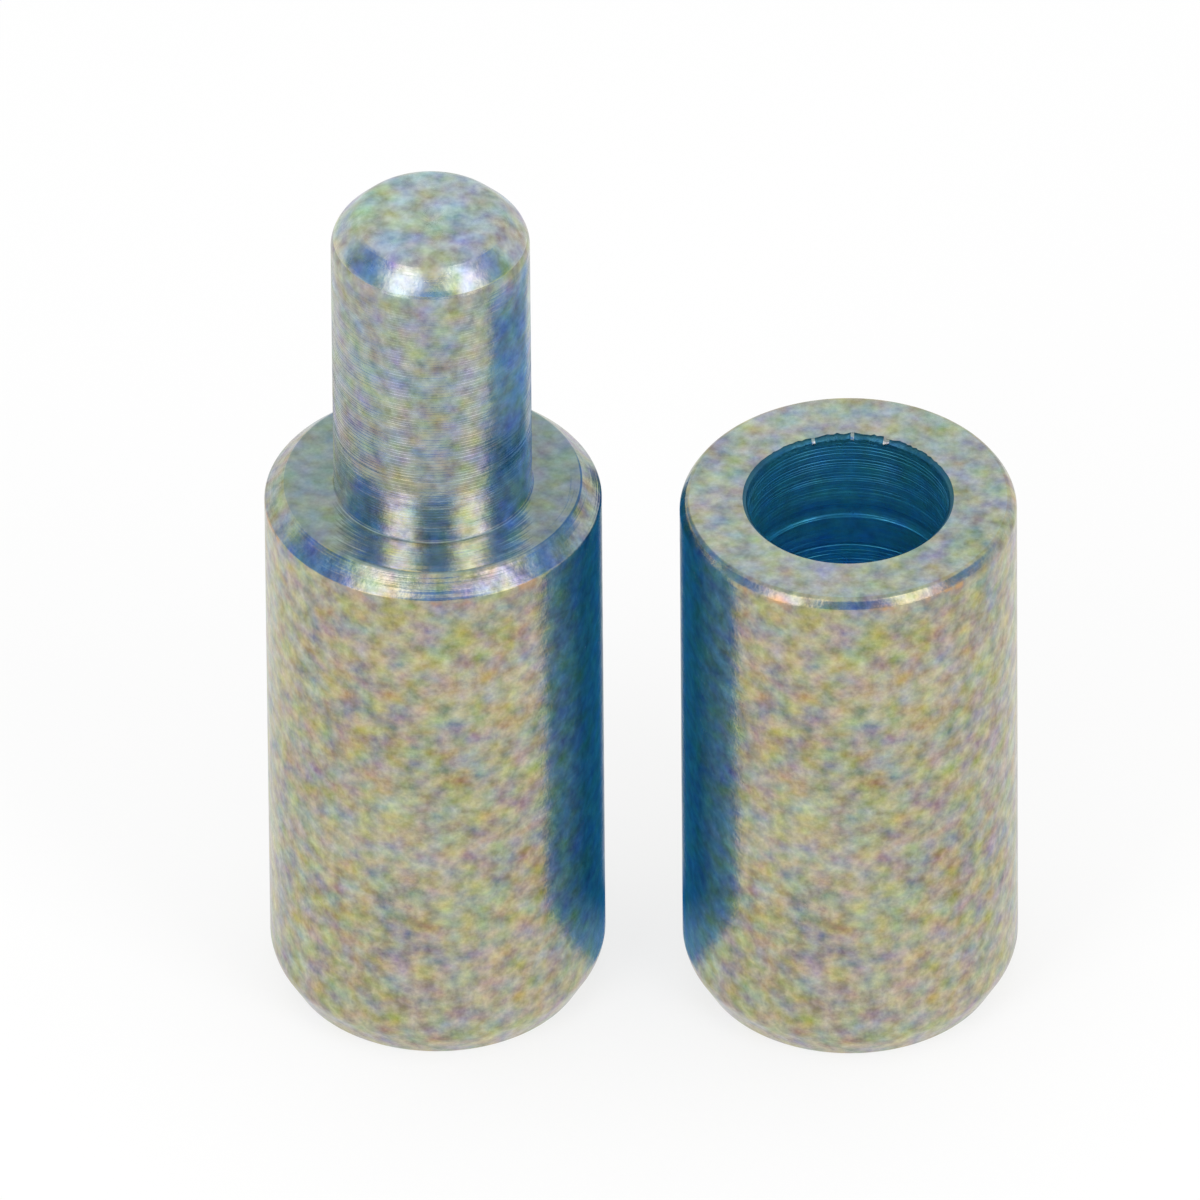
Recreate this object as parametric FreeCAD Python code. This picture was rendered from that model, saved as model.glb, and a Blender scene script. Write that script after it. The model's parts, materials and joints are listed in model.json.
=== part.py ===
"""Cylindrical weld-on lift-off hinge: a pin knuckle and a socket knuckle, standing side by side.

Both knuckles are turned from round steel bar. The pin knuckle carries a pin of its own bar,
and the socket knuckle has a blind bore that drops over that pin and turns on it.
The hinge is shown lifted apart, each knuckle on its own base, with the bore's mouth up.
The origin is the centre of the pin knuckle's base, with +Z along the pin. Lengths are in millimetres.
"""

import FreeCAD, Part
import math
import os

from FreeCAD import Vector

# Bar that both knuckles are cut from
body_diameter = 17.0
pin_knuckle_height = 31.0
socket_knuckle_height = 30.0

# Lead bevel round each base, where the knuckle's outer end is tapered for the weld
base_bevel_in = 1.0
base_bevel_up = 1.8
base_blend_radius = 1.5

# Pin
pin_diameter = 10.0
pin_length = 17.0
pin_root_fillet = 0.2
pin_end_bevel_in = 1.35
pin_end_bevel_down = 1.45
pin_end_blend_radius = 1.1
centre_mark_diameter = 1.2
centre_mark_depth = 0.35

# Bevels on the two faces that meet when the hinge is closed
shoulder_bevel = 1.0
socket_rim_bevel_in = 0.35
socket_rim_bevel_down = 0.55

# Socket
running_gap = 0.075
bore_end_clearance = 1.0
mouth_bevel = 0.25
drill_point_angle = 118.0
grease_groove_depth = 0.12
grease_groove_width = 0.9
grease_groove_from_mouth = 4.4

# Small rounding that tumbling and plating leave on the edges that the hand meets
edge_break = 0.1

# Where the socket knuckle stands beside the pin knuckle
knuckle_gap = 3.9
socket_forward = 0.45

# Sizes that follow from the ones above
body_radius = body_diameter / 2
base_radius = body_radius - base_bevel_in
pin_radius = pin_diameter / 2
pin_top = pin_knuckle_height + pin_length
bore_radius = pin_radius + running_gap
bore_floor = socket_knuckle_height - pin_length - bore_end_clearance
drill_point_depth = bore_radius / math.tan(math.radians(drill_point_angle / 2))
groove_top = socket_knuckle_height - grease_groove_from_mouth
groove_floor = groove_top - grease_groove_width
groove_radius = bore_radius + grease_groove_depth
socket_place = Vector(body_diameter + knuckle_gap, -socket_forward, 0)


def rounded_corner(before, corner, after, rounding):
    """The two tangent points of a corner's arc, and the arc between them."""
    to_before = (before - corner).normalize()
    to_after = (after - corner).normalize()
    half_turn = to_before.getAngle(to_after) / 2
    trim = rounding / math.tan(half_turn)
    start = corner + to_before * trim
    end = corner + to_after * trim
    inward = (to_before + to_after).normalize()
    centre = corner + inward * (rounding / math.sin(half_turn))
    middle = centre - inward * rounding
    return start, end, Part.Arc(start, middle, end).toShape()


def turned(corners):
    """A solid of revolution about Z from corners (radius, height, rounding), each joined to the next."""
    points = [Vector(radius, 0, height) for radius, height, rounding in corners]
    starts = []
    ends = []
    arcs = []
    for index, (radius, height, rounding) in enumerate(corners):
        before = points[index - 1]
        after = points[(index + 1) % len(points)]
        if rounding > 0:
            start, end, arc = rounded_corner(before, points[index], after, rounding)
        else:
            start, end, arc = points[index], points[index], None
        starts.append(start)
        ends.append(end)
        arcs.append(arc)
    edges = []
    for index, arc in enumerate(arcs):
        if arc is not None:
            edges.append(arc)
        next_start = starts[(index + 1) % len(points)]
        edges.append(Part.LineSegment(ends[index], next_start).toShape())
    profile = Part.Face(Part.Wire(edges))
    return profile.revolve(Vector(0, 0, 0), Vector(0, 0, 1), 360)


def base_corners():
    """The base face and its lead bevel, the same on both knuckles."""
    return [
        (0, 0, 0),
        (base_radius, 0, 0),
        (body_radius, base_bevel_up, base_blend_radius),
    ]


def pin_knuckle():
    """The lower half: barrel, bevelled shoulder and pin in one turned piece."""
    shoulder = [
        (body_radius, pin_knuckle_height - shoulder_bevel, edge_break),
        (body_radius - shoulder_bevel, pin_knuckle_height, edge_break),
    ]
    pin = [
        (pin_radius, pin_knuckle_height, pin_root_fillet),
        (pin_radius, pin_top - pin_end_bevel_down, pin_end_blend_radius),
        (pin_radius - pin_end_bevel_in, pin_top, pin_end_blend_radius),
    ]
    centre_mark = [
        (centre_mark_diameter / 2, pin_top, 0),
        (0, pin_top - centre_mark_depth, 0),
    ]
    return turned(base_corners() + shoulder + pin + centre_mark)


def socket_knuckle():
    """The upper half: barrel with a blind bore, its mouth bevelled and its wall grooved for grease."""
    rim = [
        (body_radius, socket_knuckle_height - socket_rim_bevel_down, edge_break),
        (body_radius - socket_rim_bevel_in, socket_knuckle_height, edge_break),
    ]
    mouth = [
        (bore_radius + mouth_bevel, socket_knuckle_height, 0),
        (bore_radius, socket_knuckle_height - mouth_bevel, 0),
    ]
    grease_groove = [
        (bore_radius, groove_top, 0),
        (groove_radius, groove_top - grease_groove_depth, 0),
        (groove_radius, groove_floor + grease_groove_depth, 0),
        (bore_radius, groove_floor, 0),
    ]
    bore_end = [
        (bore_radius, bore_floor, 0),
        (0, bore_floor - drill_point_depth, 0),
    ]
    knuckle = turned(base_corners() + rim + mouth + grease_groove + bore_end)
    knuckle.translate(socket_place)
    return knuckle


os.makedirs("parts", exist_ok=True)
for node, shape in (("pin_knuckle", pin_knuckle()), ("socket_knuckle", socket_knuckle())):
    shape.exportStep("parts/" + node + ".step")
    print(node, "valid", shape.isValid(), "volume", round(shape.Volume, 2), "mm3")
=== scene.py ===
"""Lift-off hinge, laid out as an add-on: the two turned and plated knuckles on a pale studio floor.

Each knuckle is spun from its own section, takes its sizes from the loaded frame, and wears one
procedural plating: turning marks, a fine iridescent grain and, in the bore, a dark blue that is
painted shade. The pin's root and shoulder are painted darker, as shade, and the top faces lighter,
as a painted reflection of the sky.
What the plated steel mirrors is part of the look, so the studio has cards that only mirrors see.
The card between the knuckles is painted shade, and the one beside the pin a painted reflection.
"""

import json
import math
import random

import bmesh
import bpy
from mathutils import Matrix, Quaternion, Vector


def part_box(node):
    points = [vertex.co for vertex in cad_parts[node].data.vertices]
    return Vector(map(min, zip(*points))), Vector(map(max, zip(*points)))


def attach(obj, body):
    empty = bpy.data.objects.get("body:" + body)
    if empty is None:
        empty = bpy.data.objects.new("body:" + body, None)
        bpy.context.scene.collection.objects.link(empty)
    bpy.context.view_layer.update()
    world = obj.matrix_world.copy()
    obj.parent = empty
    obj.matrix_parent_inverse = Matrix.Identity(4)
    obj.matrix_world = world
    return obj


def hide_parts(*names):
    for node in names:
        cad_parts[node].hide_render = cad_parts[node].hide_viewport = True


bl_info = {
    "name": "Lift-off hinge",
    "version": (1, 0, 0),
    "blender": (4, 5, 0),
    "location": "3D View > Sidebar > Hinge",
    "description": "Adds the pin knuckle and the socket knuckle of a lift-off hinge, with their studio",
    "category": "Add Mesh",
}

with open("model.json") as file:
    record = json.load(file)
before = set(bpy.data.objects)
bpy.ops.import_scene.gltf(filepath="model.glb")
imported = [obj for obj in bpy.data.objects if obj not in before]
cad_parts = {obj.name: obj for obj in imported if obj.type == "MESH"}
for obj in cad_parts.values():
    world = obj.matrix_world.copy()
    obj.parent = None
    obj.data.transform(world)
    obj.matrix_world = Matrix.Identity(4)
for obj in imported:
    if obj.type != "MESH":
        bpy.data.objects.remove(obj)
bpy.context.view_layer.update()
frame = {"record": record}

MM = 0.001
MERGE_REACH = 0.001 * MM
RING_REACH = 0.002 * MM
MOUNTS = {mount["name"]: mount for mount in frame["record"]["mounts"]}

# Colours that the mirrors show of the studio
SKY = (0.88, 0.96, 1.0)
DARK_BLUE = (0.185, 0.415, 0.92)
SOFT_BLUE = (0.19, 0.42, 0.93)
# Painted shade between the knuckles, which only the mirrors show
GAP_SHADE_BLUE = (0.014, 0.15, 0.38)
# A painted reflection of that shade on the pin's flank
PIN_REFLECTION_BLUE = (0.25, 0.48, 0.88)

# Where the softboxes stand, in degrees round from the viewer, and the glow of their faces to a ray
# that has met one mirror, and to one that has met two
SOFTBOX_AZIMUTHS = (-37, 45)
SOFTBOX_ONCE = (2.25, 1.8, 1.5)
SOFTBOX_TWICE = (9.8, 6.6, 5.0)

# How bright the cards and the sky are to a ray that has met two mirrors, against one
CARD_TWICE = 2.9
SKY_TWICE = 1.4

# Places and sizes that the frame gives
pin_low, pin_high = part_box("pin_knuckle")
socket_low, socket_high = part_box("socket_knuckle")
BODY_RADIUS = (pin_high.x - pin_low.x) / 2
SHOULDER_HEIGHT = MOUNTS["pin_knuckle_shoulder"]["pos_m"][2]
PIN_RADIUS = MOUNTS["pin"]["dims"]["r_mm"] * MM
PIN_TOP = pin_high.z
SOCKET_HEIGHT = socket_high.z
SOCKET_CENTRE = Vector(((socket_low.x + socket_high.x) / 2, (socket_low.y + socket_high.y) / 2, 0))
BORE_RADIUS = MOUNTS["bore"]["dims"]["r_mm"] * MM
BORE_MIDDLE = MOUNTS["bore"]["pos_m"][2]
BORE_FLOOR = BORE_MIDDLE - MOUNTS["bore"]["dims"]["length_mm"] * MM / 2


class HingeSizes(bpy.types.PropertyGroup):
    """Sizes of both knuckles that a user would change."""

    base_bevel_in: bpy.props.FloatProperty(
        name="Base bevel, inward", description="How far the bevel round each base runs inward",
        default=1.0 * MM, unit="LENGTH")
    base_bevel_up: bpy.props.FloatProperty(
        name="Base bevel, upward", description="How far the bevel round each base runs up the barrel",
        default=1.8 * MM, unit="LENGTH")
    base_blend: bpy.props.FloatProperty(
        name="Base blend", description="Width of the soft turn between the base bevel and the barrel",
        default=0.5 * MM, unit="LENGTH")
    shoulder_bevel: bpy.props.FloatProperty(
        name="Shoulder bevel", description="Bevel round the pin knuckle's shoulder",
        default=1.0 * MM, unit="LENGTH")
    rim_bevel_in: bpy.props.FloatProperty(
        name="Rim bevel, inward", description="How far the bevel round the socket's top runs inward",
        default=0.35 * MM, unit="LENGTH")
    rim_bevel_down: bpy.props.FloatProperty(
        name="Rim bevel, downward", description="How far that bevel runs down the barrel",
        default=0.55 * MM, unit="LENGTH")
    root_fillet: bpy.props.FloatProperty(
        name="Root fillet", description="Small fillet where the pin leaves the shoulder",
        default=0.15 * MM, unit="LENGTH")
    end_bevel_in: bpy.props.FloatProperty(
        name="Pin end bevel, inward", description="How far the bevel at the pin's end runs inward",
        default=1.35 * MM, unit="LENGTH")
    end_bevel_down: bpy.props.FloatProperty(
        name="Pin end bevel, downward", description="How far that bevel runs down the pin",
        default=1.45 * MM, unit="LENGTH")
    end_blend: bpy.props.FloatProperty(
        name="Pin end blend", description="Width of the soft turns on both sides of that bevel",
        default=0.45 * MM, unit="LENGTH")
    centre_mark_radius: bpy.props.FloatProperty(
        name="Centre mark radius", description="Radius of the lathe's centre mark in the pin's end",
        default=0.6 * MM, unit="LENGTH")
    centre_mark_depth: bpy.props.FloatProperty(
        name="Centre mark depth", description="Depth of the lathe's centre mark",
        default=0.35 * MM, unit="LENGTH")
    mouth_bevel: bpy.props.FloatProperty(
        name="Mouth bevel", description="Bevel round the bore's mouth",
        default=0.25 * MM, unit="LENGTH")
    groove_depth: bpy.props.FloatProperty(
        name="Grease groove depth", description="Depth of the grease groove in the bore's wall",
        default=0.12 * MM, unit="LENGTH")
    groove_width: bpy.props.FloatProperty(
        name="Grease groove width", description="Width of the grease groove along the bore",
        default=0.9 * MM, unit="LENGTH")
    groove_from_mouth: bpy.props.FloatProperty(
        name="Grease groove place", description="Distance from the mouth to the grease groove",
        default=4.4 * MM, unit="LENGTH")
    line_from_mouth: bpy.props.FloatProperty(
        name="Bore line place", description="Distance from the mouth to the fine line below the groove",
        default=6.9 * MM, unit="LENGTH")
    line_depth: bpy.props.FloatProperty(
        name="Bore line depth", description="Depth of the fine line below the grease groove",
        default=0.08 * MM, unit="LENGTH")
    drill_angle: bpy.props.FloatProperty(
        name="Drill point angle", description="Full angle of the cone that the drill left in the bore",
        default=math.radians(118), subtype="ANGLE")
    edge_break: bpy.props.FloatProperty(
        name="Edge break", description="Width of the small rounding on the turned edges",
        default=0.1 * MM, unit="LENGTH")
    mark_pitch: bpy.props.FloatProperty(
        name="Turning mark pitch", description="Mean distance between marks on the pin and in the bore",
        default=0.18 * MM, unit="LENGTH")
    mark_height: bpy.props.FloatProperty(
        name="Turning mark height", description="Mean height of the ledge that the first marks leave",
        default=0.015 * MM, unit="LENGTH")
    mark_slope: bpy.props.FloatProperty(
        name="Turning mark slope", description="Angle above the horizon that those ledges face",
        default=math.radians(39), subtype="ANGLE")
    steps: bpy.props.IntProperty(
        name="Steps round", description="Steps of each spin round the axis", default=192, min=24)


class PlatingLook(bpy.types.PropertyGroup):
    """Colours and marks of the zinc plating."""

    barrel_colour: bpy.props.FloatVectorProperty(
        name="Barrel plating", description="Mean colour of the plating on both barrels",
        subtype="COLOR", size=3, min=0, max=1, default=(0.375, 0.36, 0.262))
    pin_colour: bpy.props.FloatVectorProperty(
        name="Pin plating", description="Mean colour of the plating on the pin",
        subtype="COLOR", size=3, min=0, max=1, default=(0.315, 0.35, 0.315))
    # Lighter and bluer than the barrels: a painted reflection of the sky on the pin's top face, on the
    # plating's own colour
    end_plating_and_sky_reflection: bpy.props.FloatVectorProperty(
        name="Pin end plating", description="Mean colour of the bluish plating on the pin's end",
        subtype="COLOR", size=3, min=0, max=1, default=(0.435, 0.476, 0.425))
    # Lighter and bluer than the barrels: a painted reflection of the sky on the socket's top face, on
    # the plating's own colour
    face_plating_and_sky_reflection: bpy.props.FloatVectorProperty(
        name="Face plating", description="Mean colour of the plating on the two faces that meet",
        subtype="COLOR", size=3, min=0, max=1, default=(0.395, 0.409, 0.352))
    # Darker and bluer than the barrels: painted shade round the pin's foot, on the plating's own colour
    shoulder_plating_and_shade: bpy.props.FloatVectorProperty(
        name="Shoulder plating", description="Mean colour of the bluish plating on the shoulder",
        subtype="COLOR", size=3, min=0, max=1, default=(0.265, 0.31, 0.292))
    bevel_colour: bpy.props.FloatVectorProperty(
        name="Bevel plating", description="Mean colour of the plating on the shoulder's bevel",
        subtype="COLOR", size=3, min=0, max=1, default=(0.35, 0.365, 0.305))
    # The shade inside the bore, painted as a dark blue colour
    bore_shade_colour: bpy.props.FloatVectorProperty(
        name="Bore film", description="Mean colour of the blue film inside the bore",
        subtype="COLOR", size=3, min=0, max=1, default=(0.035, 0.28, 0.42))
    # Partly the plating's golden tint at its edges, partly a painted warm fringe of the highlights
    golden_edge_and_fringe_colour: bpy.props.FloatVectorProperty(
        name="Edge tint", description="Golden tint of the plating along the turned edges",
        subtype="COLOR", size=3, min=0, max=1, default=(0.52, 0.33, 0.17))
    roughness: bpy.props.FloatProperty(
        name="Roughness", description="Mean roughness of the plating", default=0.24, min=0, max=1)
    grain_light: bpy.props.FloatProperty(
        name="Grain, light to dark", description="How much the grain changes in lightness", default=0.9)
    grain_blue: bpy.props.FloatProperty(
        name="Grain, blue to yellow", description="How much the grain swings from blue to yellow",
        default=0.75)
    grain_red: bpy.props.FloatProperty(
        name="Grain, red to green", description="How much the grain swings from red to green",
        default=0.26)
    grain_slow: bpy.props.FloatProperty(
        name="Grain, slow change", description="How much the lightness wanders along a knuckle",
        default=0.22)


class StudioLook(bpy.types.PropertyGroup):
    """Camera, softboxes and even light."""

    elevation: bpy.props.FloatProperty(
        name="Camera elevation", description="Angle of the camera above the horizon",
        default=math.radians(38.66), subtype="ANGLE")
    roll: bpy.props.FloatProperty(
        name="Camera roll", description="Tilt of the picture",
        default=math.radians(0.5), subtype="ANGLE")
    distance: bpy.props.FloatProperty(
        name="Camera distance", description="From the camera to the point that it looks at",
        default=2.65, unit="LENGTH")
    picture_width: bpy.props.FloatProperty(
        name="Picture width", description="Width of the scene that fills the picture",
        default=60.52 * MM, unit="LENGTH")
    look_at: bpy.props.FloatVectorProperty(
        name="Look at", description="Point in the middle of the picture",
        subtype="TRANSLATION", size=3, default=(8.36 * MM, 0.0, 23.18 * MM))
    lamp_strength: bpy.props.FloatProperty(
        name="Lamp strength", description="Power of each softbox, in watts", default=0.3)
    softbox_width: bpy.props.FloatProperty(
        name="Softbox width", description="Width of each softbox's glowing face",
        default=0.26, unit="LENGTH")
    softbox_height: bpy.props.FloatProperty(
        name="Softbox height", description="Height of each softbox's glowing face",
        default=0.32, unit="LENGTH")
    softbox_distance: bpy.props.FloatProperty(
        name="Softbox distance", description="From the origin to the middle of each softbox",
        default=0.36, unit="LENGTH")
    softbox_elevation: bpy.props.FloatProperty(
        name="Softbox elevation", description="Angle of each softbox above the horizon",
        default=math.radians(32), subtype="ANGLE")
    ambient: bpy.props.FloatProperty(
        name="Ambient light", description="Strength of the even light from all round", default=0.9)


def new_profile(points):
    """A bmesh that holds one open section in the XZ plane, from (radius, height) pairs in metres."""
    bm = bmesh.new()
    verts = [bm.verts.new((radius, 0, height)) for radius, height in points]
    for first, second in zip(verts, verts[1:]):
        bm.edges.new((first, second))
    return bm


def feed_marks(sizes, start, end, radius, seed):
    """Section points of the ledges that the tool left along a wall, fainter from start to end.

    Upward they run in from the wall, for a pin. Downward they run out from it, for a bore.
    """
    draw = random.Random(seed)
    inward = math.tan(sizes.mark_slope)
    height_spread = (0.4, 1.6)
    pitch_spread = (0.7, 1.3)
    lost_by_the_end = 0.8
    points = []
    height = start
    while abs(height - start) < abs(end - start):
        fading = 1 - lost_by_the_end * (height - start) / (end - start)
        ledge = draw.uniform(*height_spread) * sizes.mark_height * fading
        step = draw.uniform(*pitch_spread) * sizes.mark_pitch
        if end > start:
            points += [(radius, height), (radius - ledge * inward, height + ledge)]
            height += step
        else:
            points += [(radius + ledge * inward, height + ledge), (radius, height)]
            height -= step
    return points


def crease_marks(bm, low, high, radius):
    """Keeps the ledges of the turning marks sharp on the wall between two heights."""
    flat_within = 0.0005 * MM
    wall_within = 0.05 * MM
    for edge in bm.edges:
        first, second = edge.verts
        level = abs(first.co.z - second.co.z) < flat_within
        on_wall = abs(first.co.xy.length - radius) < wall_within
        if level and on_wall and low < first.co.z < high:
            edge.smooth = False


def spin_round(bm, steps):
    """Turns the section into a closed surface about Z, with its poles merged and faces outward."""
    bmesh.ops.spin(
        bm, geom=bm.verts[:] + bm.edges[:], cent=(0, 0, 0), axis=(0, 0, 1), dvec=(0, 0, 0),
        angle=2 * math.pi, steps=steps, use_merge=True, use_duplicate=False)
    bmesh.ops.remove_doubles(bm, verts=bm.verts, dist=MERGE_REACH)
    bmesh.ops.recalc_face_normals(bm, faces=bm.faces)


def ring_edges(bm, radius, height):
    """The edges of the ring at that radius and height."""
    return [edge for edge in bm.edges if all(on_ring(vert, radius, height) for vert in edge.verts)]


def on_ring(vert, radius, height):
    """Whether a vertex lies on the ring at that radius and height."""
    outward = vert.co.xy.length - radius
    upward = vert.co.z - height
    return abs(outward) < RING_REACH and abs(upward) < RING_REACH


def round_ring(bm, radius, height, width, segments):
    """Rounds one turned edge by the given width."""
    bmesh.ops.bevel(
        bm, geom=ring_edges(bm, radius, height), offset=width, offset_type="OFFSET", affect="EDGES",
        segments=segments, profile=0.5, material=-1, loop_slide=True)


def finished_piece(bm, name, centre, materials):
    """A smooth object at the origin, with its place in its mesh."""
    bmesh.ops.translate(bm, verts=bm.verts, vec=centre)
    for face in bm.faces:
        face.smooth = True
    mesh = bpy.data.meshes.new(name)
    bm.to_mesh(mesh)
    bm.free()
    for material in materials:
        mesh.materials.append(material)
    piece = bpy.data.objects.new(name, mesh)
    bpy.context.scene.collection.objects.link(piece)
    even = piece.modifiers.new("even_shading", "WEIGHTED_NORMAL")
    even.keep_sharp = True
    even.weight = 100
    return piece


def feed(tree, socket, value):
    """Links an input where the value is another node's output, and sets it otherwise."""
    if isinstance(value, bpy.types.NodeSocket):
        tree.links.new(value, socket)
    else:
        socket.default_value = value


def add_node(tree, kind, settings=None, **values):
    """A node with its settings and its named inputs. An underscore stands for a space."""
    node = tree.nodes.new(kind)
    for key, value in (settings or {}).items():
        setattr(node, key, value)
    for key, value in values.items():
        feed(tree, node.inputs[key.replace("_", " ")], value)
    return node


def calculated(tree, kind, operation, inputs):
    """A node for one operation, with its inputs given in order."""
    node = tree.nodes.new(kind)
    node.operation = operation
    for socket, value in zip(node.inputs, inputs):
        feed(tree, socket, value)
    return node


def vector_math(tree, operation, *inputs):
    """The result of one vector operation."""
    node = calculated(tree, "ShaderNodeVectorMath", operation, inputs)
    return node.outputs["Value" if operation in {"LENGTH", "DOT_PRODUCT"} else "Vector"]


def number_math(tree, operation, *inputs):
    """The result of one number operation."""
    return calculated(tree, "ShaderNodeMath", operation, inputs).outputs["Value"]


def straight(tree, value, slope, start):
    """The value times a slope, plus what it starts from."""
    return number_math(tree, "MULTIPLY_ADD", value, slope, start)


def clamped(tree, value):
    """The value kept between 0 and 1."""
    return number_math(tree, "MINIMUM", number_math(tree, "MAXIMUM", value, 0.0), 1.0)


def object_place(tree):
    """The place on the object, in metres."""
    return add_node(tree, "ShaderNodeTexCoord").outputs["Object"]


def parts_of(tree, place):
    """The X, Y and Z of a place."""
    return add_node(tree, "ShaderNodeSeparateXYZ", Vector=place).outputs


def turned_noise(tree, place, radius, across, along, detail):
    """Noise drawn out round the axis: rings on flat faces, and level marks on barrels."""
    stretched = vector_math(tree, "MULTIPLY", place, (across, across, along))
    outward = number_math(tree, "MULTIPLY", radius, along)
    return add_node(
        tree, "ShaderNodeTexNoise", {"noise_dimensions": "4D"},
        Vector=stretched, W=outward, Scale=1.0, Detail=detail, Roughness=0.55)


def spread(tree, value, amount):
    """A noise value about one half, turned into a swing about zero."""
    return straight(tree, value, 2 * amount, -amount)


def plated_steel(name, centre, colour, look, grain_scale=0.8, grain=1.0, ring_depth=0.01 * MM,
                 rings_per_mm=9.0, tooth_depth=0.013 * MM, metallic=1.0, roughness=None,
                 tint_height=None, bore_shade_top=None, root=None):
    """Turned steel under a thin iridescent zinc plating, with its marks centred on one axis.

    Scales are per millimetre. tint_height is the turned edge that has golden patches, partly a painted
    fringe of highlights, bore_shade_top the mouth of a bore whose dark blue paints its shade, and root
    the shoulder that a pin stands on, where the pin's colour is painted darker as shade.
    """
    material = bpy.data.materials.new(name)
    material.use_nodes = True
    tree = material.node_tree
    shader = tree.nodes["Principled BSDF"]
    mapping = add_node(
        tree, "ShaderNodeMapping", Vector=object_place(tree),
        Location=-centre / MM, Scale=(1 / MM, 1 / MM, 1 / MM))
    place = mapping.outputs["Vector"]
    level = vector_math(tree, "MULTIPLY", place, (1, 1, 0))
    radius = vector_math(tree, "LENGTH", level)

    # Iridescent blotches, a little flatter than they are wide
    flatter = 1.2
    flattened = vector_math(tree, "MULTIPLY", place, (1, 1, flatter))
    blotches = add_node(
        tree, "ShaderNodeTexNoise", Vector=flattened, Scale=grain_scale, Detail=2.0, Roughness=0.5)
    hues = add_node(tree, "ShaderNodeSeparateColor", Color=blotches.outputs["Color"])
    blue = spread(tree, hues.outputs["Blue"], look.grain_blue * grain)
    red = spread(tree, hues.outputs["Red"], look.grain_red * grain)

    # A finer grain of lightness, on a slow one
    fine_scale = grain_scale * 1.6
    slow_scale = 0.14
    fine = add_node(
        tree, "ShaderNodeTexNoise", Vector=place, Scale=fine_scale, Detail=3.0, Roughness=0.66)
    slow = add_node(
        tree, "ShaderNodeTexNoise", Vector=place, Scale=slow_scale, Detail=1.0, Roughness=0.5)
    light = number_math(
        tree, "ADD", spread(tree, fine.outputs["Fac"], look.grain_light * grain),
        spread(tree, slow.outputs["Fac"], look.grain_slow))

    # Where the blotches turn blue, red and green give way, which leaves yellow between them
    red_gives, green_gives = -0.5, -0.35
    swing = add_node(
        tree, "ShaderNodeCombineXYZ",
        X=straight(tree, blue, red_gives, number_math(tree, "ADD", light, red)),
        Y=straight(tree, blue, green_gives, number_math(tree, "SUBTRACT", light, red)),
        Z=number_math(tree, "ADD", light, blue))
    tinted = vector_math(
        tree, "MULTIPLY_ADD", swing.outputs["Vector"], Vector(colour), Vector(colour))
    # Painted shade at the pin's root and in the bore, and golden edges that are partly a painted fringe
    # of highlights
    if root is not None:
        tinted = painted_root_shade(tree, place, tinted, root)
    if bore_shade_top is not None:
        tinted = painted_bore_shading(tree, place, tinted, bore_shade_top)
    if tint_height is not None:
        tinted = golden_edge_and_fringe(tree, place, tinted, blotches, look, tint_height)
    tree.links.new(tinted, shader.inputs["Base Color"])

    # Turning marks, and the plating's fine tooth on them
    marks_per_mm_round = 0.1
    teeth_per_mm = 4.0
    marks = turned_noise(tree, place, radius, marks_per_mm_round, rings_per_mm, 2.0)
    tooth = add_node(
        tree, "ShaderNodeTexNoise", Vector=place, Scale=teeth_per_mm, Detail=2.0, Roughness=0.6)
    first = add_node(
        tree, "ShaderNodeBump", Strength=1.0, Distance=ring_depth, Height=marks.outputs["Fac"])
    second = add_node(
        tree, "ShaderNodeBump", Strength=1.0, Distance=tooth_depth, Height=tooth.outputs["Fac"],
        Normal=first.outputs["Normal"])
    tree.links.new(second.outputs["Normal"], shader.inputs["Normal"])

    # Roughness that wanders with the blotches, from three quarters of its mean to five quarters
    mean = look.roughness if roughness is None else roughness
    rough = straight(tree, hues.outputs["Green"], mean / 2, mean * 3 / 4)
    tree.links.new(rough, shader.inputs["Roughness"])
    shader.inputs["Metallic"].default_value = metallic
    return material


def golden_edge_and_fringe(tree, place, colour, blotches, look, height):
    """Golden patches within half a millimetre of one turned edge: partly the plating's own tint, partly
    a painted warm fringe of the highlights there.
    """
    above = number_math(tree, "SUBTRACT", parts_of(tree, place)["Z"], height / MM)
    away = number_math(tree, "ABSOLUTE", above)
    near = clamped(tree, straight(tree, away, -2.2, 1.0))

    # Only the highest of the blotches, with fairly sharp borders
    patchy = clamped(tree, straight(tree, blotches.outputs["Fac"], 9.0, -5.1))
    amount = number_math(tree, "MULTIPLY", near, patchy)
    step = vector_math(tree, "SUBTRACT", Vector(look.golden_edge_and_fringe_colour), colour)
    return vector_math(tree, "MULTIPLY_ADD", step, amount, colour)


def painted_bore_shading(tree, place, colour, top):
    """Painted shade in the bore: darkest at the mouth, then painted lighter with each millimetre of
    depth.
    """
    depth = number_math(tree, "SUBTRACT", top / MM, parts_of(tree, place)["Z"])

    # The dark start is over after 0.7 mm, and a slow rise goes on below it
    mouth = clamped(tree, straight(tree, depth, 0.8, 0.45))
    gain = number_math(tree, "MULTIPLY", mouth, straight(tree, depth, 0.09, 0.68))
    return vector_math(tree, "SCALE", colour, (0, 0, 0), (0, 0, 0), gain)


def painted_root_shade(tree, place, colour, root):
    """Painted shade at the pin's root: the colour made a quarter darker there, and whole again 9 mm
    above it.
    """
    height = number_math(tree, "SUBTRACT", parts_of(tree, place)["Z"], root / MM)
    gain = number_math(tree, "MINIMUM", straight(tree, height, 0.028, 0.74), 1.0)
    return vector_math(tree, "SCALE", colour, (0, 0, 0), (0, 0, 0), gain)


def base_points(sizes):
    """The base face and its bevel, the same on both knuckles."""
    return [(0, 0), (BODY_RADIUS - sizes.base_bevel_in, 0), (BODY_RADIUS, sizes.base_bevel_up)]


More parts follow.
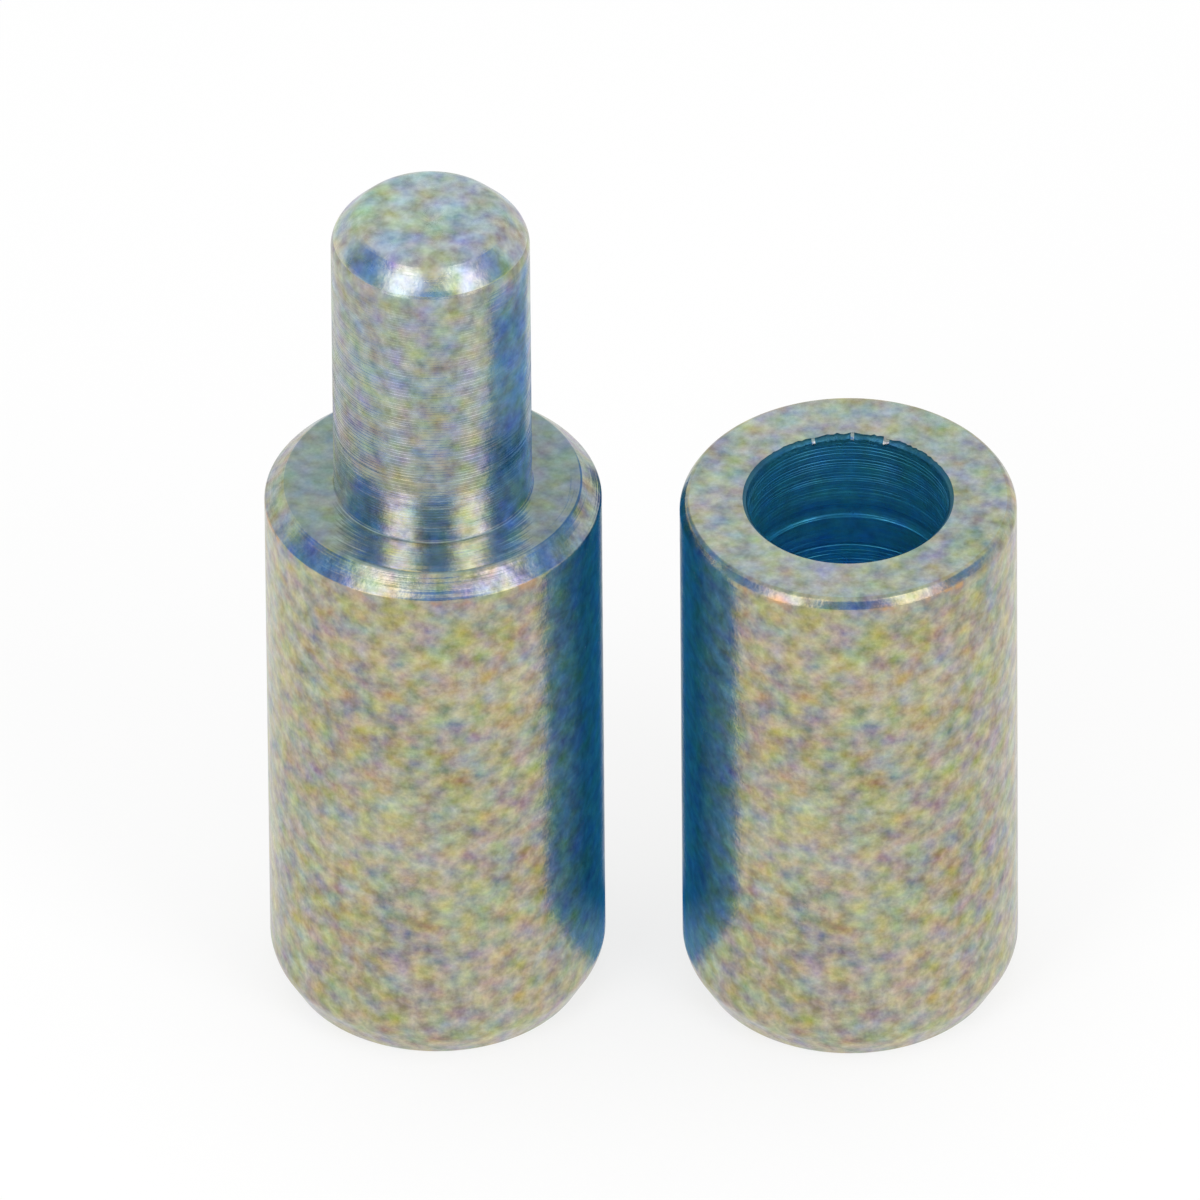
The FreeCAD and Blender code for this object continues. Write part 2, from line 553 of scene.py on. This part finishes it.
def round_base(bm, sizes):
    """Softens the two turns of the base bevel."""
    round_ring(bm, BODY_RADIUS - sizes.base_bevel_in, 0, sizes.edge_break, 3)
    round_ring(bm, BODY_RADIUS, sizes.base_bevel_up, sizes.base_blend, 6)


class HINGE_OT_add_pin_knuckle(bpy.types.Operator):
    """Add the pin knuckle: barrel, bevelled shoulder and pin in one turned piece."""

    bl_idname = "hinge.add_pin_knuckle"
    bl_label = "Add pin knuckle"

    def execute(self, context):
        sizes = context.scene.hinge_sizes
        look = context.scene.hinge_plating
        shoulder_radius = BODY_RADIUS - sizes.shoulder_bevel
        shoulder_foot = SHOULDER_HEIGHT - sizes.shoulder_bevel
        end_radius = PIN_RADIUS - sizes.end_bevel_in
        end_foot = PIN_TOP - sizes.end_bevel_down
        shoulder = [(BODY_RADIUS, shoulder_foot), (shoulder_radius, SHOULDER_HEIGHT)]
        clear_of_root = 0.5 * MM
        clear_of_end = 0.8 * MM
        marks_low = SHOULDER_HEIGHT + clear_of_root
        marks_high = end_foot - clear_of_end
        wall = feed_marks(sizes, marks_low, marks_high, PIN_RADIUS, 3)
        pin = [(PIN_RADIUS, SHOULDER_HEIGHT), *wall, (PIN_RADIUS, end_foot), (end_radius, PIN_TOP)]
        centre_mark = [(sizes.centre_mark_radius, PIN_TOP), (0, PIN_TOP - sizes.centre_mark_depth)]
        bm = new_profile(base_points(sizes) + shoulder + pin + centre_mark)
        spin_round(bm, sizes.steps)
        round_base(bm, sizes)
        round_ring(bm, BODY_RADIUS, shoulder_foot, sizes.edge_break, 3)
        round_ring(bm, shoulder_radius, SHOULDER_HEIGHT, sizes.edge_break, 3)
        round_ring(bm, PIN_RADIUS, SHOULDER_HEIGHT, sizes.root_fillet, 5)
        round_ring(bm, PIN_RADIUS, end_foot, sizes.end_blend, 5)
        round_ring(bm, end_radius, PIN_TOP, sizes.end_blend, 5)
        below_marks = 0.1 * MM
        above_marks = 0.4 * MM
        crease_marks(bm, marks_low - below_marks, marks_high + above_marks, PIN_RADIUS)
        self.sort_zones(bm, sizes)
        centre = Vector((0, 0, 0))
        materials = [
            plated_steel(
                "pin_knuckle_barrel", centre, look.barrel_colour, look, tint_height=shoulder_foot),
            # The shoulder is painted darker, as shade round the pin's foot
            plated_steel(
                "pin_knuckle_shoulder", centre, look.shoulder_plating_and_shade, look, grain=0.65,
                ring_depth=0.03 * MM, rings_per_mm=5.0, roughness=0.16, tooth_depth=0.006 * MM),
            # The pin's colour is painted darker towards its root, as shade
            plated_steel(
                "pin_wall", centre, look.pin_colour, look, grain=0.9, ring_depth=0.02 * MM,
                rings_per_mm=5.0, roughness=0.22, root=SHOULDER_HEIGHT, tooth_depth=0.008 * MM),
            # The pin's end is painted lighter, as a reflection of the sky
            plated_steel("pin_end", centre, look.end_plating_and_sky_reflection, look, grain_scale=0.6, roughness=0.28),
            plated_steel(
                "pin_knuckle_bevel", centre, look.bevel_colour, look, ring_depth=0.05 * MM,
                rings_per_mm=5.0, roughness=0.24),
        ]
        piece = finished_piece(bm, "pin_knuckle_turned", centre, materials)
        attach(piece, "pin_half")
        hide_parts("pin_knuckle")
        return {"FINISHED"}

    def sort_zones(self, bm, sizes):
        """Gives each zone of the knuckle its own material, in the order of the list in execute."""
        barrel, shoulder, wall, end, bevel = range(5)
        just_above = 0.02 * MM
        for face in bm.faces:
            middle = face.calc_center_median()
            if middle.z < SHOULDER_HEIGHT - sizes.shoulder_bevel:
                face.material_index = barrel
            elif middle.xy.length > BODY_RADIUS - sizes.shoulder_bevel:
                face.material_index = bevel
            elif middle.z < SHOULDER_HEIGHT + just_above:
                face.material_index = shoulder
            elif middle.z < PIN_TOP - sizes.end_bevel_down:
                face.material_index = wall
            else:
                face.material_index = end


class HINGE_OT_add_socket_knuckle(bpy.types.Operator):
    """Add the socket knuckle: barrel with a blind bore, grooved for grease."""

    bl_idname = "hinge.add_socket_knuckle"
    bl_label = "Add socket knuckle"

    def execute(self, context):
        sizes = context.scene.hinge_sizes
        look = context.scene.hinge_plating
        rim_radius = BODY_RADIUS - sizes.rim_bevel_in
        rim_foot = SOCKET_HEIGHT - sizes.rim_bevel_down
        mouth_radius = BORE_RADIUS + sizes.mouth_bevel
        mouth_foot = SOCKET_HEIGHT - sizes.mouth_bevel
        groove_radius = BORE_RADIUS + sizes.groove_depth
        groove_top = SOCKET_HEIGHT - sizes.groove_from_mouth
        groove_floor = groove_top - sizes.groove_width
        point_depth = BORE_RADIUS / math.tan(sizes.drill_angle / 2)
        line_top = SOCKET_HEIGHT - sizes.line_from_mouth
        groove_ramp = 1.4 * sizes.groove_depth
        line_ramp = 2.4 * sizes.line_depth
        rim = [(BODY_RADIUS, rim_foot), (rim_radius, SOCKET_HEIGHT)]
        mouth = [(mouth_radius, SOCKET_HEIGHT), (BORE_RADIUS, mouth_foot)]
        groove = [
            (BORE_RADIUS, groove_top),
            (groove_radius, groove_top - sizes.groove_depth),
            (groove_radius, groove_floor + groove_ramp),
            (BORE_RADIUS, groove_floor),
        ]
        line = [
            (BORE_RADIUS, line_top),
            (BORE_RADIUS + sizes.line_depth, line_top - sizes.line_depth),
            (BORE_RADIUS, line_top - line_ramp),
        ]
        bore_end = [(BORE_RADIUS, BORE_FLOOR), (0, BORE_FLOOR - point_depth)]
        clear_of_mouth = 0.5 * MM
        clear_of_groove = 0.3 * MM
        clear_of_line = 0.5 * MM
        marks_reach = 3 * MM
        upper = feed_marks(
            sizes, mouth_foot - clear_of_mouth, groove_top + clear_of_groove, BORE_RADIUS, 5)
        lower = feed_marks(sizes, line_top - clear_of_line, line_top - marks_reach, BORE_RADIUS, 6)
        bm = new_profile(base_points(sizes) + rim + mouth + upper + groove + line + lower + bore_end)
        spin_round(bm, sizes.steps)
        round_base(bm, sizes)
        rim_foot_rounding = 1.5 * sizes.edge_break
        rim_top_rounding = 2 * sizes.edge_break
        round_ring(bm, BODY_RADIUS, rim_foot, rim_foot_rounding, 4)
        round_ring(bm, rim_radius, SOCKET_HEIGHT, rim_top_rounding, 5)
        below_marks = 1 * MM
        above_marks = 0.2 * MM
        crease_marks(
            bm, line_top - marks_reach - below_marks, mouth_foot - clear_of_mouth + above_marks,
            BORE_RADIUS)
        self.rough_mouth(bm, mouth_radius, mouth_foot)
        self.sort_zones(bm, mouth_radius, mouth_foot)
        centre = SOCKET_CENTRE
        materials = [
            plated_steel(
                "socket_knuckle_barrel", centre, look.barrel_colour, look, tint_height=rim_foot),
            # The socket's face is painted lighter, as a reflection of the sky
            plated_steel(
                "socket_knuckle_face", centre, look.face_plating_and_sky_reflection, look, grain=0.85,
                ring_depth=0.025 * MM, rings_per_mm=5.0),
            # The bore's colour paints its shade: dark blue, darkest at the mouth and lighter deeper
            # down
            plated_steel(
                "socket_bore", centre, look.bore_shade_colour, look, grain=0.5, ring_depth=0.1 * MM,
                rings_per_mm=4.0, metallic=0.6, roughness=0.3, bore_shade_top=SOCKET_HEIGHT),
        ]
        piece = finished_piece(bm, "socket_knuckle_turned", centre, materials)
        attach(piece, "socket_half")
        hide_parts("socket_knuckle")
        return {"FINISHED"}

    def rough_mouth(self, bm, mouth_radius, mouth_foot):
        """Torn burrs that the drill left along the far side of the mouth."""
        draw = random.Random(11)
        torn_azimuth = 84
        torn_reach = 42
        torn_most = 1.6

        # Least and most that a burr moves, in millimetres: inward at the top of the mouth's bevel, and
        # inward and down at its foot
        top_inward = (0.03, 0.2)
        foot_inward = (-0.02, 0.1)
        foot_down = (0.0, 0.25)
        for vert in bm.verts:
            on_mouth = on_ring(vert, mouth_radius, SOCKET_HEIGHT)
            if not (on_mouth or on_ring(vert, BORE_RADIUS, mouth_foot)):
                continue
            radius = vert.co.xy.length
            azimuth = math.degrees(math.atan2(vert.co.y, vert.co.x))
            tear = min(1.0, max(0.0, torn_most - abs(azimuth - torn_azimuth) / torn_reach))
            if on_mouth:
                vert.co.xy *= (radius - draw.uniform(*top_inward) * tear * MM) / radius
            else:
                vert.co.xy *= (radius - draw.uniform(*foot_inward) * tear * MM) / radius
                vert.co.z -= draw.uniform(*foot_down) * tear * MM

    def sort_zones(self, bm, mouth_radius, mouth_foot):
        """Gives the barrel, the face and the bore their materials, and the mouth its bright nicks."""
        draw = random.Random(17)
        face_zone, bore_zone = 1, 2
        above_base = 1 * MM
        bore_top = SOCKET_HEIGHT - 0.01 * MM
        face_foot = SOCKET_HEIGHT - 0.02 * MM
        nicks_foot = mouth_foot - 0.2 * MM
        nicks_start, nicks_end = 52, 112
        nicked_share = 0.14
        for face in bm.faces:
            middle = face.calc_center_median()
            if middle.xy.length < mouth_radius and above_base < middle.z < bore_top:
                azimuth = math.degrees(math.atan2(middle.y, middle.x))
                at_mouth = middle.z > nicks_foot and nicks_start < azimuth < nicks_end
                nicked = at_mouth and draw.random() < nicked_share
                face.material_index = face_zone if nicked else bore_zone
            elif middle.z > face_foot:
                face.material_index = face_zone


def seen_directly(tree, rays):
    """1 for camera, glossy and transmission rays, and 0 for the rays that carry soft light."""
    either = number_math(
        tree, "MAXIMUM", rays.outputs["Is Camera Ray"], rays.outputs["Is Glossy Ray"])
    return number_math(tree, "MAXIMUM", either, rays.outputs["Is Transmission Ray"])


def by_mirrors(tree, first, second):
    """One strength for a ray that has met one mirror, and another for one that has met two."""
    between_one_and_two = 1.5
    rays = add_node(tree, "ShaderNodeLightPath")
    twice = number_math(tree, "GREATER_THAN", rays.outputs["Glossy Depth"], between_one_and_two)
    return straight(tree, twice, second - first, first)


def two_colours(tree, first, second):
    """One colour for a ray that has met one mirror, and another for one that has met two."""
    twice = by_mirrors(tree, 0.0, 1.0)
    return vector_math(tree, "MULTIPLY_ADD", Vector(second) - Vector(first), twice, Vector(first))


def mixed_shaders(tree, share, first, second):
    """A mix of two shaders, all first where the share is 0 and all second where it is 1."""
    mixed = add_node(tree, "ShaderNodeMixShader")
    for socket, value in zip(mixed.inputs, (share, first.outputs[0], second.outputs[0])):
        feed(tree, socket, value)
    return mixed


def bare_material(name):
    """A material with nothing in its tree yet."""
    material = bpy.data.materials.new(name)
    material.use_nodes = True
    material.node_tree.nodes.clear()
    return material


def give_surface(tree, shader):
    """Makes a shader the surface of its material."""
    output = add_node(tree, "ShaderNodeOutputMaterial")
    tree.links.new(shader.outputs[0], output.inputs["Surface"])


def card_material(name, strengths=(1.0, CARD_TWICE)):
    """A material for a glowing card, with its tree and its glow, which the caller colours and uses.

    The strengths are what a ray sees after one mirror and after two. The card lights nothing itself.
    """
    material = bare_material(name)
    material.cycles.emission_sampling = "NONE"
    tree = material.node_tree
    glow = add_node(tree, "ShaderNodeEmission", Strength=by_mirrors(tree, *strengths))
    return material, tree, glow


def stage_piece(name, bm, material):
    """An object of the stage, made from a bmesh that it uses up."""
    mesh = bpy.data.meshes.new(name)
    bm.to_mesh(mesh)
    bm.free()
    mesh.materials.append(material)
    piece = bpy.data.objects.new(name, mesh)
    bpy.context.scene.collection.objects.link(piece)
    return piece


def hide_from_all_but_mirrors(card):
    """Leaves a card to the reflections alone."""
    card.visible_camera = False
    card.visible_diffuse = False
    card.visible_shadow = False


def add_sheet(bm, across, front, back, foot, top):
    """An upright sheet that faces both knuckles."""
    verts = bmesh.ops.create_grid(bm, x_segments=1, y_segments=1, size=0.5)["verts"]
    bmesh.ops.scale(bm, verts=verts, vec=(top - foot, back - front, 1))
    upright = Quaternion((0, 1, 0), math.pi / 2).to_matrix()
    bmesh.ops.rotate(bm, verts=verts, cent=(0, 0, 0), matrix=upright)
    bmesh.ops.translate(bm, verts=verts, vec=(across, (front + back) / 2, (foot + top) / 2))


def studio_direction(azimuth, elevation):
    """The unit vector at two angles, round from the viewer and above the horizon."""
    level = math.cos(elevation)
    return Vector((math.sin(azimuth) * level, -math.cos(azimuth) * level, math.sin(elevation)))


class HINGE_OT_add_studio(bpy.types.Operator):
    """Add the pale floor, the softboxes, the cards that the steel mirrors, and the camera."""

    bl_idname = "hinge.add_studio"
    bl_label = "Add studio"

    def execute(self, context):
        studio = context.scene.hinge_studio
        self.add_floor()
        self.add_flags()
        self.add_gap_shade_card()
        self.add_pin_reflection_card()
        self.light_world(context.scene, studio)
        for degrees in SOFTBOX_AZIMUTHS:
            self.add_softbox(studio, math.radians(degrees))
        self.add_camera(context.scene, studio)
        context.scene.view_settings.view_transform = "Standard"
        return {"FINISHED"}

    def add_floor(self):
        """A wide pale disc just under the knuckles, nearly white to the eye, with their shadows."""
        radius = 4.0
        drop = 0.005 * MM
        own_glow = 0.74
        bm = bmesh.new()
        bmesh.ops.create_circle(bm, cap_ends=True, segments=96, radius=radius)
        bmesh.ops.translate(bm, verts=bm.verts, vec=(0, 0, -drop))
        material = bare_material("pale_floor")
        tree = material.node_tree
        rays = add_node(tree, "ShaderNodeLightPath")
        paper = add_node(tree, "ShaderNodeBsdfDiffuse", Color=(0.95, 0.95, 0.95, 1))
        white = add_node(tree, "ShaderNodeEmission", Color=(1, 1, 1, 1), Strength=1.0)
        shaded = mixed_shaders(tree, own_glow, paper, white)
        give_surface(tree, mixed_shaders(tree, seen_directly(tree, rays), paper, shaded))
        floor = stage_piece("studio_floor", bm, material)

    def add_flags(self):
        """A dark blue flag round the viewer's side, and a higher one that carries on at the right."""
        lowest, high_flag_lowest, highest = 12, 29, 47
        high_flag_end = 146
        material, tree, glow = card_material("dark_flag")
        parts = parts_of(tree, object_place(tree))
        toward = number_math(tree, "MULTIPLY", parts["Y"], -1.0)
        azimuth = number_math(tree, "ARCTAN2", parts["X"], toward)
        ramp = add_node(tree, "ShaderNodeValToRGB", Fac=straight(tree, azimuth, 1 / math.tau, 0.5))

        # Degrees round from the viewer, and the colour there
        stops = (
            (-122, SKY), (-100, DARK_BLUE), (-60, DARK_BLUE), (-30, SOFT_BLUE),
            (30, SOFT_BLUE), (60, DARK_BLUE), (90, DARK_BLUE), (112, SKY),
        )
        elements = ramp.color_ramp.elements
        while len(elements) < len(stops):
            elements.new(0.5)
        for element, (degrees, colour) in zip(elements, stops):
            element.position = degrees / 360 + 0.5
            element.color = (*colour, 1)
        tree.links.new(ramp.outputs["Color"], glow.inputs["Color"])
        give_surface(tree, glow)
        start, end = stops[0][0], stops[-1][0]
        self.add_flag("flag", start, end, lowest, highest, material)

        material, tree, glow = card_material("high_flag", (1.0, 1.0))
        colour = two_colours(tree, SKY, 2 * Vector(DARK_BLUE))
        tree.links.new(colour, glow.inputs["Color"])
        give_surface(tree, glow)
        self.add_flag("high_flag", end, high_flag_end, high_flag_lowest, highest, material)

    def add_flag(self, name, start, end, lowest, highest, material):
        """A curved card round the object, between two azimuths and two elevations, all in degrees."""
        reach = 0.45
        start = math.radians(start)
        end = math.radians(end)
        low = reach * math.tan(math.radians(lowest))
        high = reach * math.tan(math.radians(highest))
        bm = bmesh.new()
        place = studio_direction(start, 0) * reach
        foot = bm.verts.new(place + Vector((0, 0, low)))
        head = bm.verts.new(place + Vector((0, 0, high)))
        edge = bm.edges.new((foot, head))
        bmesh.ops.spin(
            bm, geom=[foot, head, edge], cent=(0, 0, 0), axis=(0, 0, 1), dvec=(0, 0, 0),
            angle=end - start, steps=24, use_merge=False, use_duplicate=False)
        hide_from_all_but_mirrors(stage_piece(name, bm, material))

    def add_gap_shade_card(self):
        """Painted shade for the mirrors: a dark upright card between the knuckles, on a narrow foot,
        and paler towards its edges.
        """
        across = SOCKET_CENTRE.x / 2
        front = -7.3 * MM
        back = 8 * MM
        top = 30.0 * MM
        foot_width = 2.6 * MM
        above_floor = 0.001 * MM
        bm = bmesh.new()
        add_sheet(bm, across, front, back, 0, top)
        foot = bmesh.ops.create_grid(bm, x_segments=1, y_segments=1, size=0.5)["verts"]
        bmesh.ops.scale(bm, verts=foot, vec=(foot_width, back - front, 1))
        bmesh.ops.translate(bm, verts=foot, vec=(across, (front + back) / 2, above_floor))
        material, tree, glow = card_material("gap_card")
        parts = parts_of(tree, object_place(tree))

        # How far a place lies behind the card's front edge, which leans back towards its foot
        lean_height = 5 * MM
        lean = 1.3
        depth = number_math(tree, "SUBTRACT", parts["Y"], front)
        lowness = number_math(tree, "MAXIMUM", straight(tree, parts["Z"], -1.0, lean_height), 0.0)
        reached = straight(tree, lowness, -lean, depth)

        # Paler over the front 5 mm, nearly white before the leaning edge, and pale at the back
        front_reach, edge_reach, back_reach = 4.5 * MM, 1.5 * MM, 3 * MM
        fading = clamped(tree, straight(tree, reached, -1 / front_reach, 1.1))
        ending = clamped(tree, number_math(tree, "MULTIPLY", reached, -1 / edge_reach))
        closing = clamped(tree, straight(tree, parts["Y"], 1 / back_reach, 1 - back / back_reach))
        paler, nearly_white, pale = (0.16, 0.26, 0.38), (0.7, 0.5, 0.15), (0.75, 0.7, 0.55)
        colour = vector_math(tree, "MULTIPLY_ADD", paler, fading, GAP_SHADE_BLUE)
        colour = vector_math(tree, "MULTIPLY_ADD", nearly_white, ending, colour)
        colour = vector_math(tree, "MULTIPLY_ADD", pale, closing, colour)
        tree.links.new(colour, glow.inputs["Color"])
        give_surface(tree, glow)
        hide_from_all_but_mirrors(stage_piece("gap_card", bm, material))

    def add_pin_reflection_card(self):
        """Painted reflection: a blue card beside the pin, with soft edges, which gives the pin's flank
        one even band of mirrored shade.
        """
        across = BODY_RADIUS + 0.25 * MM
        front = -6.6 * MM
        back = 6.8 * MM
        foot = SHOULDER_HEIGHT + 0.4 * MM
        top = 42.6 * MM
        soft = 2.8 * MM
        bm = bmesh.new()
        add_sheet(bm, across, front, back, foot, top)
        material, tree, glow = card_material("pin_card")
        parts = parts_of(tree, object_place(tree))
        from_front = clamped(tree, straight(tree, parts["Y"], 1 / soft, -front / soft))
        from_back = clamped(tree, straight(tree, parts["Y"], -1 / soft, back / soft))
        shown = number_math(tree, "MULTIPLY", from_front, from_back)
        paling = clamped(tree, straight(tree, parts["Z"], 1 / soft, 1 - top / soft))
        paler = (0.7, 0.51, 0.12)
        colour = vector_math(tree, "MULTIPLY_ADD", paler, paling, PIN_REFLECTION_BLUE)
        tree.links.new(colour, glow.inputs["Color"])
        clear = add_node(tree, "ShaderNodeBsdfTransparent")
        give_surface(tree, mixed_shaders(tree, shown, clear, glow))
        hide_from_all_but_mirrors(stage_piece("pin_card", bm, material))

    def light_world(self, scene, studio):
        """White to the camera, a pale sky to the mirrors, and even light on the rest."""
        world = bpy.data.worlds.new("studio_world")
        world.use_nodes = True
        tree = world.node_tree
        tree.nodes.clear()
        rays = add_node(tree, "ShaderNodeLightPath")
        white_light = (1, 1, 1, 1)
        soft = add_node(tree, "ShaderNodeBackground", Color=white_light, Strength=studio.ambient)
        white = add_node(tree, "ShaderNodeBackground", Color=white_light, Strength=1.0)
        sky = add_node(
            tree, "ShaderNodeBackground", Color=(*SKY, 1), Strength=by_mirrors(tree, 1.0, SKY_TWICE))
        mirrored = mixed_shaders(tree, seen_directly(tree, rays), soft, sky)
        mixed = mixed_shaders(tree, rays.outputs["Is Camera Ray"], mirrored, white)
        output = add_node(tree, "ShaderNodeOutputWorld")
        tree.links.new(mixed.outputs[0], output.inputs["Surface"])
        scene.world = world

    def add_softbox(self, studio, azimuth):
        """One softbox: a lamp for soft light, and a glowing face that only the mirrors see."""
        width = studio.softbox_width
        height = studio.softbox_height
        place = studio_direction(azimuth, studio.softbox_elevation) * studio.softbox_distance
        turn = (-place).to_track_quat("-Z", "Y")
        lamp = bpy.data.lights.new("softbox", "AREA")
        lamp.shape = "RECTANGLE"
        lamp.size = width / 2
        lamp.size_y = height
        lamp.energy = studio.lamp_strength
        softbox = bpy.data.objects.new("softbox", lamp)
        softbox.location = place
        softbox.rotation_mode = "QUATERNION"
        softbox.rotation_quaternion = turn
        softbox.visible_glossy = False
        bpy.context.scene.collection.objects.link(softbox)
        bm = bmesh.new()
        bmesh.ops.create_grid(bm, x_segments=1, y_segments=1, size=0.5)
        bmesh.ops.scale(bm, verts=bm.verts, vec=(width, height, 1))
        bmesh.ops.rotate(bm, verts=bm.verts, cent=(0, 0, 0), matrix=turn.to_matrix())
        bmesh.ops.translate(bm, verts=bm.verts, vec=place)
        material = self.softbox_material(turn @ Vector((1, 0, 0)), width)
        hide_from_all_but_mirrors(stage_piece("softbox_face", bm, material))

    def softbox_material(self, sideways, width):
        """A clear sheet with a glow along its middle, so that its image fades out sideways."""
        material = bare_material("softbox_face")
        material.cycles.emission_sampling = "NONE"
        tree = material.node_tree
        across = vector_math(tree, "DOT_PRODUCT", object_place(tree), sideways)
        away = number_math(tree, "ABSOLUTE", across)

        # Full over the middle quarter of the sheet, and nothing left at either side
        middle = clamped(tree, straight(tree, away, -2.6 / width, 1.3))
        glow = add_node(
            tree, "ShaderNodeEmission", Strength=middle,
            Color=two_colours(tree, SOFTBOX_ONCE, SOFTBOX_TWICE))
        clear = add_node(tree, "ShaderNodeBsdfTransparent")
        both = add_node(tree, "ShaderNodeAddShader")
        tree.links.new(glow.outputs[0], both.inputs[0])
        tree.links.new(clear.outputs[0], both.inputs[1])
        give_surface(tree, both)
        return material

    def add_camera(self, scene, studio):
        """A long lens at the photograph's height, so that verticals stay parallel."""
        lens = bpy.data.cameras.new("camera")
        lens.sensor_width = 36.0
        lens.lens = lens.sensor_width * studio.distance / studio.picture_width
        lens.clip_start = 0.05
        lens.clip_end = 10.0
        camera = bpy.data.objects.new("camera", lens)
        back = studio_direction(0, studio.elevation)
        camera.location = Vector(studio.look_at) + back * studio.distance
        camera.rotation_mode = "QUATERNION"
        upright = (-back).to_track_quat("-Z", "Y")
        camera.rotation_quaternion = upright @ Quaternion((0, 0, 1), -studio.roll)
        scene.collection.objects.link(camera)
        scene.camera = camera


class HINGE_PT_panel(bpy.types.Panel):
    """Sidebar panel with the hinge's sizes, looks and operators."""

    bl_idname = "HINGE_PT_panel"
    bl_label = "Lift-off hinge"
    bl_space_type = "VIEW_3D"
    bl_region_type = "UI"
    bl_category = "Hinge"

    def draw(self, context):
        scene = context.scene
        for group in (scene.hinge_sizes, scene.hinge_plating, scene.hinge_studio):
            box = self.layout.box()
            for name in group.bl_rna.properties.keys():
                if name not in {"rna_type", "name"}:
                    box.prop(group, name)
        for operator in OPERATORS:
            self.layout.operator(operator.bl_idname)


OPERATORS = (HINGE_OT_add_pin_knuckle, HINGE_OT_add_socket_knuckle, HINGE_OT_add_studio)
CLASSES = (HingeSizes, PlatingLook, StudioLook, *OPERATORS, HINGE_PT_panel)


def register():
    """Adds the classes, and their settings to the scene."""
    for cls in CLASSES:
        bpy.utils.register_class(cls)
    bpy.types.Scene.hinge_sizes = bpy.props.PointerProperty(type=HingeSizes)
    bpy.types.Scene.hinge_plating = bpy.props.PointerProperty(type=PlatingLook)
    bpy.types.Scene.hinge_studio = bpy.props.PointerProperty(type=StudioLook)


def unregister():
    """Takes the settings and the classes away again."""
    del bpy.types.Scene.hinge_studio
    del bpy.types.Scene.hinge_plating
    del bpy.types.Scene.hinge_sizes
    for cls in reversed(CLASSES):
        bpy.utils.unregister_class(cls)


def main():
    register()
    bpy.ops.hinge.add_pin_knuckle()
    bpy.ops.hinge.add_socket_knuckle()
    bpy.ops.hinge.add_studio()


if __name__ == "__main__":
    main()
